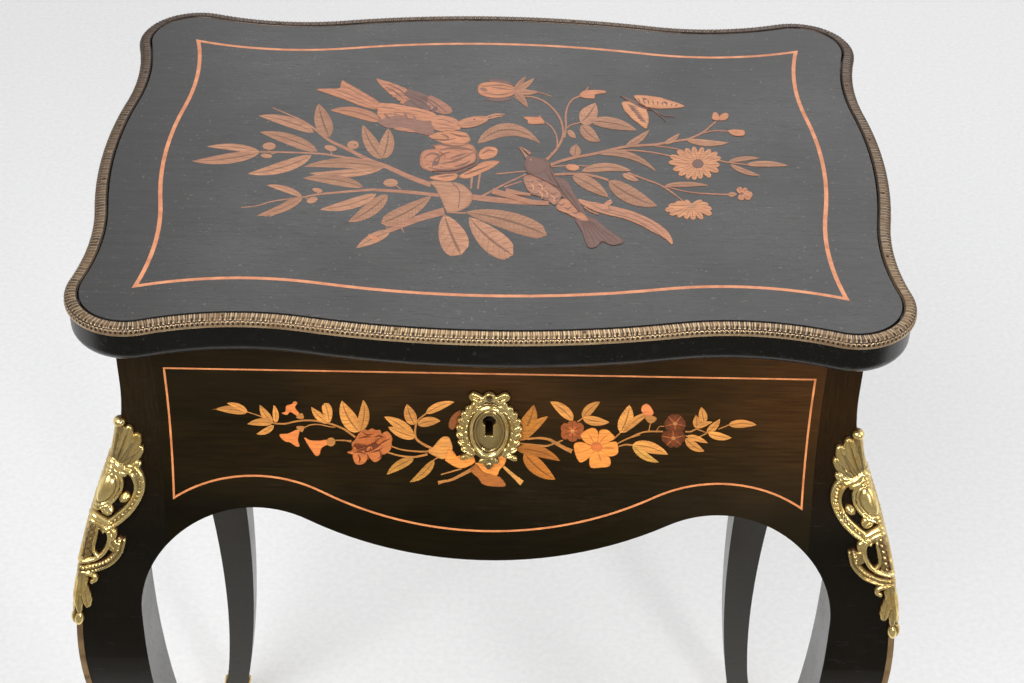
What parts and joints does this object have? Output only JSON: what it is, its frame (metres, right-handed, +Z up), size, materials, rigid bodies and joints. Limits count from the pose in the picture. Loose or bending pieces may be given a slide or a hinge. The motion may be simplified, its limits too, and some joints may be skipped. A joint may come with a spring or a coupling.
{
  "type": "dressing table",
  "caption": "Lift-top dressing table: scalloped lid with a mirror inside, swelling case with a compartment tray and a lock, and cabriole legs with gilt knee and foot mounts.",
  "frame": {"origin": "on the floor, under the middle of the table", "axes": "+Z up, +X to the right seen from the keyhole side, -Y towards the sitter"},
  "size_m": [0.529, 0.395, 0.7411],
  "materials": {
    "ebonised_wood": "black stained, French polished, glossy",
    "inlay_line": "pale orange stringing, polished flush",
    "gilt_mount": "cast and gilt, matt in the hollows, burnished on the high places",
    "stamped_brass": "stamped strip, lightly aged",
    "plain_brass": "plain, worn",
    "lock_steel": "filed, dull",
    "carcass_wood": "plain oak, unpolished",
    "lining_wood": "rosewood veneer, satin",
    "mirror_glass": "silvered glass"
  },
  "bodies": {
    "case": {"front_panel": "ebonised_wood", "back_panel": "ebonised_wood", "left_panel": "ebonised_wood", "right_panel": "ebonised_wood", "front_left_leg": "ebonised_wood", "front_right_leg": "ebonised_wood", "back_left_leg": "ebonised_wood", "back_right_leg": "ebonised_wood", "front_inlay_line": "inlay_line", "left_inlay_line": "inlay_line", "right_inlay_line": "inlay_line", "knee_mount_front_right": "gilt_mount", "knee_mount_front_left": "gilt_mount", "knee_mount_back_right": "gilt_mount", "knee_mount_back_left": "gilt_mount", "sabot_front_right": "gilt_mount", "sabot_front_left": "gilt_mount", "sabot_back_right": "gilt_mount", "sabot_back_left": "gilt_mount", "escutcheon": "gilt_mount", "leg_strip_front_right": "stamped_brass", "leg_strip_front_left": "stamped_brass", "leg_strip_back_right": "stamped_brass", "leg_strip_back_left": "stamped_brass", "strip_nails": "stamped_brass", "escutcheon_pins": "stamped_brass", "hinge_case_leaf_left": "plain_brass", "hinge_case_leaf_right": "plain_brass", "hinge_pins": "plain_brass", "lock_case": "lock_steel", "lock_pin": "lock_steel", "case_screws": "lock_steel", "case_floor": "carcass_wood", "glue_blocks": "carcass_wood", "tray_runners": "carcass_wood", "tray_floor": "lining_wood", "tray_wall_front": "lining_wood", "tray_wall_back": "lining_wood", "tray_wall_left": "lining_wood", "tray_wall_right": "lining_wood", "tray_divider_left": "lining_wood", "tray_divider_right": "lining_wood", "tray_cross_pieces": "lining_wood"},
    "lid": {"lid_panel": "ebonised_wood", "lid_inlay_line": "inlay_line", "moulding_pins": "stamped_brass", "mirror_glass": "mirror_glass", "lock_link_plate": "plain_brass", "lid_screws": "lock_steel", "hinge_lid_leaf_left": "plain_brass", "hinge_lid_leaf_right": "plain_brass", "lid_moulding_front_right": "stamped_brass", "lid_moulding_front_left": "stamped_brass", "lid_moulding_back_right": "stamped_brass", "lid_moulding_back_left": "stamped_brass", "mirror_frame_front": "lining_wood", "mirror_frame_back": "lining_wood", "mirror_frame_left": "lining_wood", "mirror_frame_right": "lining_wood"},
    "lock_bolt": {"lock_bolt": "lock_steel"}
  },
  "joints": [
    {"name": "lid_hinge", "type": "hinge", "parent": "case", "child": "lid", "pos_m": [0, 0.1578, 0.713], "axis": [-1, 0, 0], "range_deg": [0, 97]},
    {"name": "bolt_slide", "type": "slide", "parent": "case", "child": "lock_bolt", "axis": [1, 0, 0], "range_m": [0, 0.006]}
  ]
}
